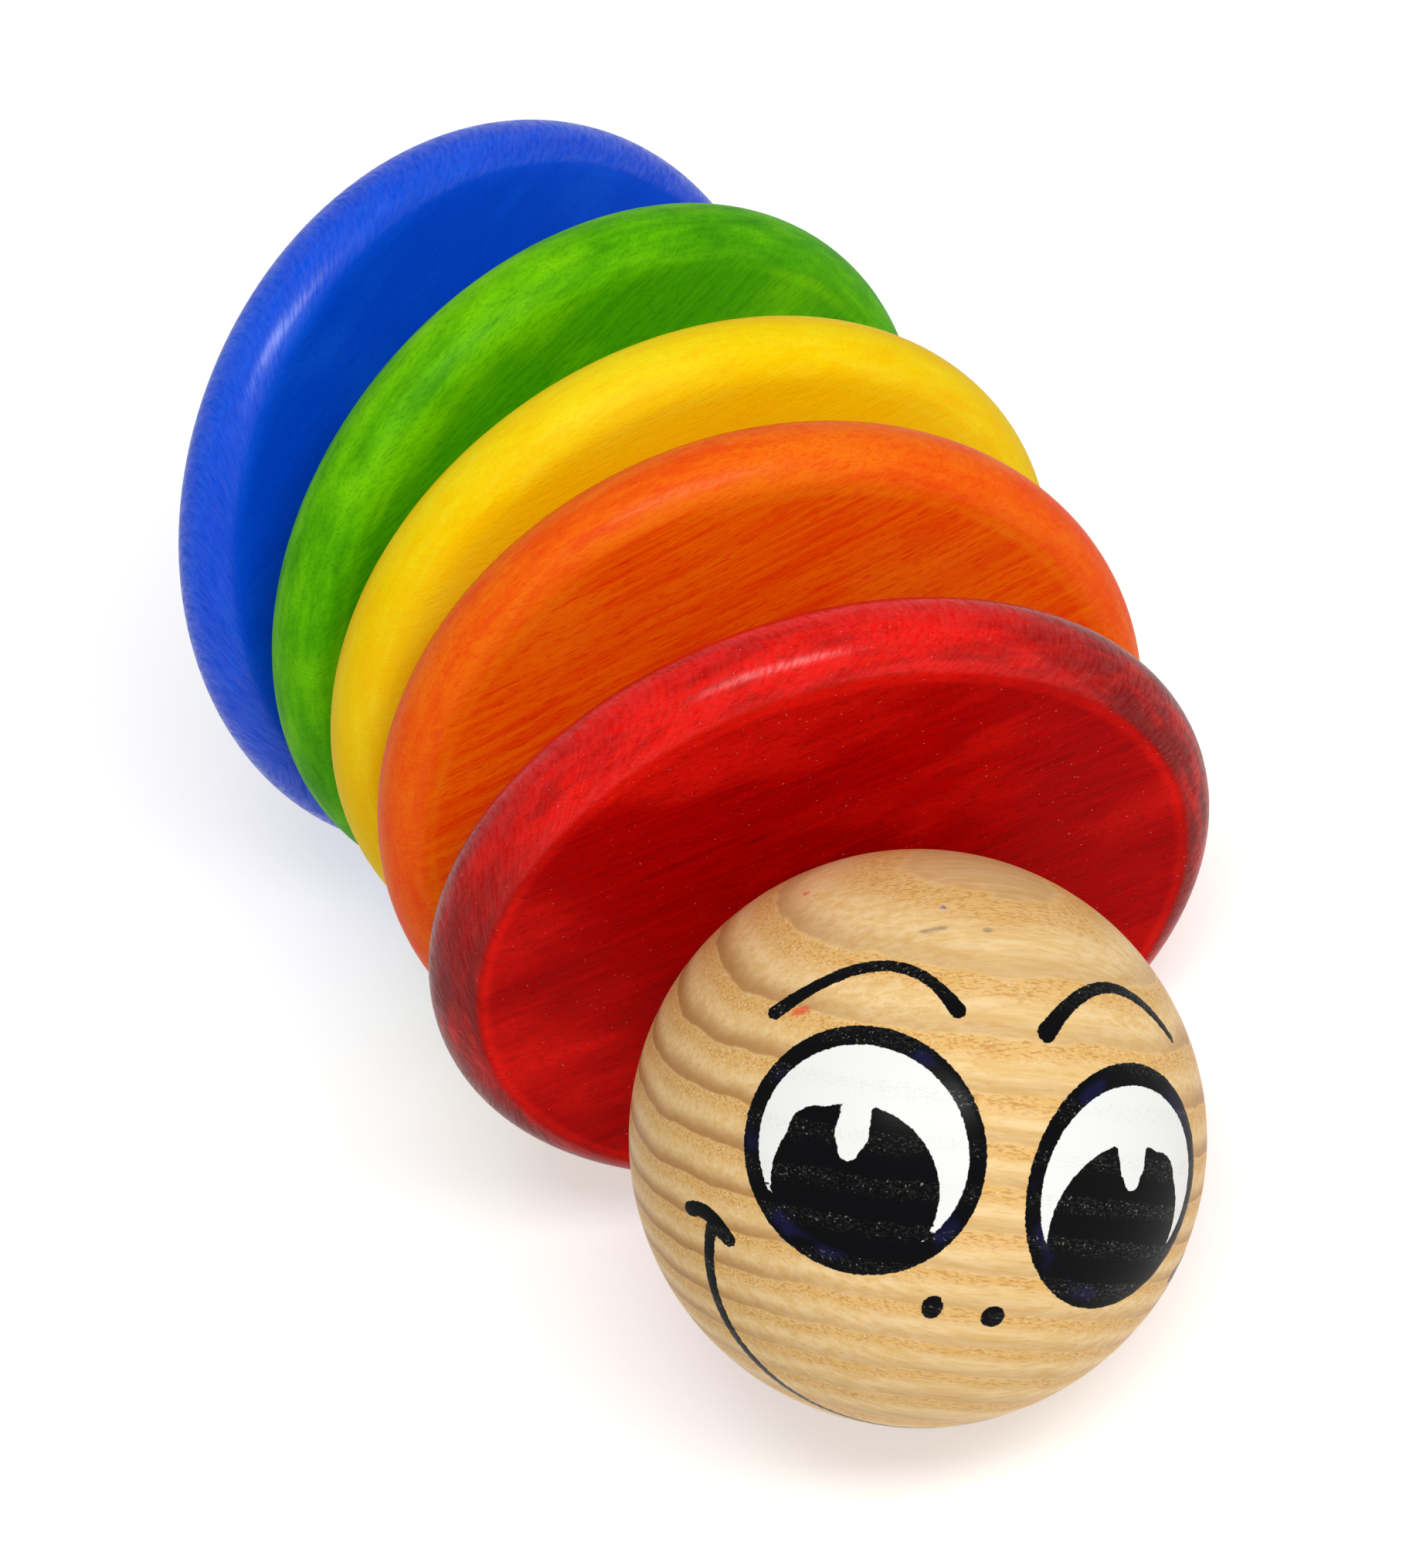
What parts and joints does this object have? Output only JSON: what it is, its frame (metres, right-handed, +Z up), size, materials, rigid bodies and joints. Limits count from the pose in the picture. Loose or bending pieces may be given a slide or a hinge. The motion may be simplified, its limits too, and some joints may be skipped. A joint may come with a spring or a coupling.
{
  "type": "inchworm rattle",
  "caption": "Wooden inchworm baby rattle: stained full-round discs and a painted ball head strung with spacer beads on an elastic cord, so that the body bends and the discs spin.",
  "frame": {"origin": "middle of the underside of the part's box, on the surface that the discs stand on", "axes": "+Z up; +Y along the worm from its head to its tail; +X to the right for someone who looks at the face along +Y"},
  "size_m": [0.062, 0.1124, 0.0582],
  "materials": {
    "natural_wood": "oiled natural wood, painted face",
    "red_wood": "red stain, satin gloss",
    "orange_wood": "orange stain, satin",
    "yellow_wood": "yellow stain, satin",
    "green_wood": "green stain, satin",
    "blue_wood": "blue stain, satin",
    "bead_wood": "natural wood, tumbled",
    "peg_wood": "natural hardwood, end grain",
    "elastic": "braided cover over a rubber core"
  },
  "bodies": {
    "tail": {"blue_disc": "blue_wood", "tail_peg": "peg_wood", "cord_blue": "elastic"},
    "green_bead": {"green_bead": "bead_wood"},
    "green_link": {"cord_green": "elastic"},
    "green_disc": {"green_disc": "green_wood"},
    "yellow_bead": {"yellow_bead": "bead_wood"},
    "yellow_link": {"cord_yellow": "elastic"},
    "yellow_disc": {"yellow_disc": "yellow_wood"},
    "orange_bead": {"orange_bead": "bead_wood"},
    "orange_link": {"cord_orange": "elastic"},
    "orange_disc": {"orange_disc": "orange_wood"},
    "red_bead": {"red_bead": "bead_wood"},
    "red_link": {"cord_red": "elastic"},
    "red_disc": {"red_disc": "red_wood"},
    "neck": {"cord_head": "elastic"},
    "head": {"head_ball": "natural_wood", "head_peg": "peg_wood"}
  },
  "joints": [
    {"name": "green_sideways", "type": "hinge", "parent": "tail", "child": "green_bead", "pos_m": [-0.00128, 0.03596, 0.0296], "axis": [-0.0454, 0.1084, 0.9931], "range_deg": [-1.75, 21.84]},
    {"name": "green_rise", "type": "hinge", "parent": "green_bead", "child": "green_link", "pos_m": [-0.00128, 0.03596, 0.0296], "axis": [-0.9752, -0.2202, -0.0205], "range_deg": [-3, 20.59]},
    {"name": "green_spin", "type": "hinge", "parent": "green_link", "child": "green_disc", "pos_m": [0.00032, 0.02891, 0.02933], "axis": [0.2209, -0.9746, -0.0375], "continuous": true},
    {"name": "yellow_sideways", "type": "hinge", "parent": "green_link", "child": "yellow_bead", "pos_m": [0.00191, 0.02185, 0.02906], "axis": [-0.0117, -0.0411, 0.9991], "range_deg": [-0.4, 23.19]},
    {"name": "yellow_rise", "type": "hinge", "parent": "yellow_bead", "child": "yellow_link", "pos_m": [0.00191, 0.02185, 0.02906], "axis": [-0.9996, -0.0233, -0.0127], "range_deg": [-13.01, 10.58]},
    {"name": "yellow_spin", "type": "hinge", "parent": "yellow_link", "child": "yellow_disc", "pos_m": [0.00209, 0.01462, 0.02891], "axis": [0.0236, -0.9995, -0.0197], "continuous": true},
    {"name": "orange_sideways", "type": "hinge", "parent": "yellow_link", "child": "orange_bead", "pos_m": [0.00226, 0.00738, 0.02877], "axis": [-0.0122, -0.02, 0.9997], "range_deg": [-5.85, 17.74]},
    {"name": "orange_rise", "type": "hinge", "parent": "orange_bead", "child": "orange_link", "pos_m": [0.00226, 0.00738, 0.02877], "axis": [-0.9967, 0.0803, -0.0106], "range_deg": [-16.99, 6.6]},
    {"name": "orange_spin", "type": "hinge", "parent": "orange_link", "child": "orange_disc", "pos_m": [0.00167, 0.00018, 0.02928], "axis": [-0.0808, -0.9943, 0.0697], "continuous": true},
    {"name": "red_sideways", "type": "hinge", "parent": "orange_link", "child": "red_bead", "pos_m": [0.00109, -0.00702, 0.02978], "axis": [-0.0049, 0.0703, 0.9975], "range_deg": [-7.44, 16.15]},
    {"name": "red_rise", "type": "hinge", "parent": "red_bead", "child": "red_link", "pos_m": [0.00109, -0.00702, 0.02978], "axis": [-0.9877, 0.1556, -0.0158], "range_deg": [-0.44, 23.15]},
    {"name": "red_spin", "type": "hinge", "parent": "red_link", "child": "red_disc", "pos_m": [-0.00002, -0.01411, 0.02885], "axis": [-0.1523, -0.9799, -0.1291], "continuous": true},
    {"name": "head_nod", "type": "hinge", "parent": "red_link", "child": "neck", "pos_m": [-0.00346, -0.03624, 0.02593], "axis": [-0.9877, 0.1556, -0.0158], "range_deg": [-10, 10]},
    {"name": "head_turn", "type": "hinge", "parent": "neck", "child": "head", "pos_m": [-0.00346, -0.03624, 0.02593], "axis": [-0.1523, -0.9799, -0.1291], "range_deg": [-180, 180]}
  ]
}
